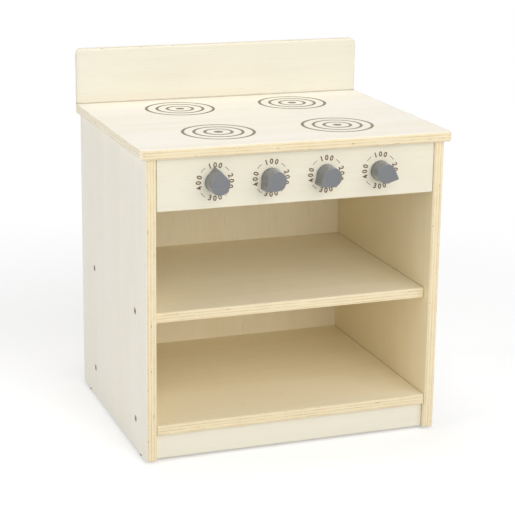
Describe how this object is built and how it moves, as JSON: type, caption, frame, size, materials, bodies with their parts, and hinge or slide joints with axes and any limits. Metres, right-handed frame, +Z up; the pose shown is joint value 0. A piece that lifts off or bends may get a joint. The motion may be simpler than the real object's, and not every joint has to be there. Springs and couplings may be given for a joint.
{
  "type": "toy stove",
  "caption": "Low plywood toy stove: counter with printed burner rings, backsplash, control panel with turning knobs, and open shelf spaces below.",
  "frame": {"origin": "on the floor, under the middle of the overall box of case, counter and knobs", "axes": "+X to the right as seen from the front, +Y from the knobs towards the backsplash, +Z up"},
  "size_m": [0.469, 0.389, 0.546],
  "materials": {
    "side_panels": "clear satin lacquer on birch plywood, cool white veneer",
    "counter": "clear satin lacquer on birch plywood, printed with four plain ring groups",
    "backsplash": "clear satin lacquer on birch plywood",
    "control_panel": "clear satin lacquer on birch plywood, printed with number rings",
    "shelves": "clear satin lacquer on birch plywood",
    "toe_kick": "clear satin lacquer on birch plywood",
    "back_panel": "thin birch plywood, lacquered",
    "knobs": "moulded, matte mid grey",
    "nylon": "natural nylon",
    "glides": "black, slightly worn",
    "steel": "bright zinc plated",
    "dark_steel": "dark plated",
    "zinc": "cast zinc, tumbled",
    "dowels": "fluted beech"
  },
  "bodies": {
    "case": {"left_side_panel": "side_panels", "right_side_panel": "side_panels", "counter_top": "counter", "backsplash": "backsplash", "control_panel": "control_panel", "middle_shelf": "shelves", "bottom_shelf": "shelves", "toe_kick": "toe_kick", "back_panel": "back_panel", "screw_washer_1": "steel", "knob_washer_1": "nylon", "screw_washer_2": "steel", "knob_washer_2": "nylon", "screw_washer_3": "steel", "knob_washer_3": "nylon", "screw_washer_4": "steel", "knob_washer_4": "nylon", "middle_shelf_screw_left_front": "dark_steel", "middle_shelf_screw_left_rear": "dark_steel", "middle_shelf_screw_right_front": "dark_steel", "middle_shelf_screw_right_rear": "dark_steel", "bottom_shelf_screw_left_front": "dark_steel", "bottom_shelf_screw_left_rear": "dark_steel", "bottom_shelf_screw_right_front": "dark_steel", "bottom_shelf_screw_right_rear": "dark_steel", "glide_left_front": "glides", "cam_lock_left_front": "zinc", "cam_bolt_left_front": "steel", "glide_left_rear": "glides", "cam_lock_left_rear": "zinc", "cam_bolt_left_rear": "steel", "panel_dowel_left_lower": "dowels", "toe_kick_dowel_left_lower": "dowels", "panel_dowel_left_upper": "dowels", "toe_kick_dowel_left_upper": "dowels", "glide_right_front": "glides", "cam_lock_right_front": "zinc", "cam_bolt_right_front": "steel", "glide_right_rear": "glides", "cam_lock_right_rear": "zinc", "cam_bolt_right_rear": "steel", "panel_dowel_right_lower": "dowels", "toe_kick_dowel_right_lower": "dowels", "panel_dowel_right_upper": "dowels", "toe_kick_dowel_right_upper": "dowels", "backsplash_screw_left": "steel", "backsplash_screw_middle": "steel", "backsplash_screw_right": "steel"},
    "knob_1": {"knob_1": "knobs", "knob_screw_1": "steel"},
    "knob_2": {"knob_2": "knobs", "knob_screw_2": "steel"},
    "knob_3": {"knob_3": "knobs", "knob_screw_3": "steel"},
    "knob_4": {"knob_4": "knobs", "knob_screw_4": "steel"}
  },
  "joints": [
    {"name": "knob_1_turn", "type": "hinge", "parent": "case", "child": "knob_1", "pos_m": [-0.12493, -0.1695, 0.4085], "axis": [0, 1, 0], "continuous": true},
    {"name": "knob_2_turn", "type": "hinge", "parent": "case", "child": "knob_2", "pos_m": [-0.04164, -0.1695, 0.4085], "axis": [0, 1, 0], "continuous": true},
    {"name": "knob_3_turn", "type": "hinge", "parent": "case", "child": "knob_3", "pos_m": [0.04164, -0.1695, 0.4085], "axis": [0, 1, 0], "continuous": true},
    {"name": "knob_4_turn", "type": "hinge", "parent": "case", "child": "knob_4", "pos_m": [0.12493, -0.1695, 0.4085], "axis": [0, 1, 0], "continuous": true}
  ]
}
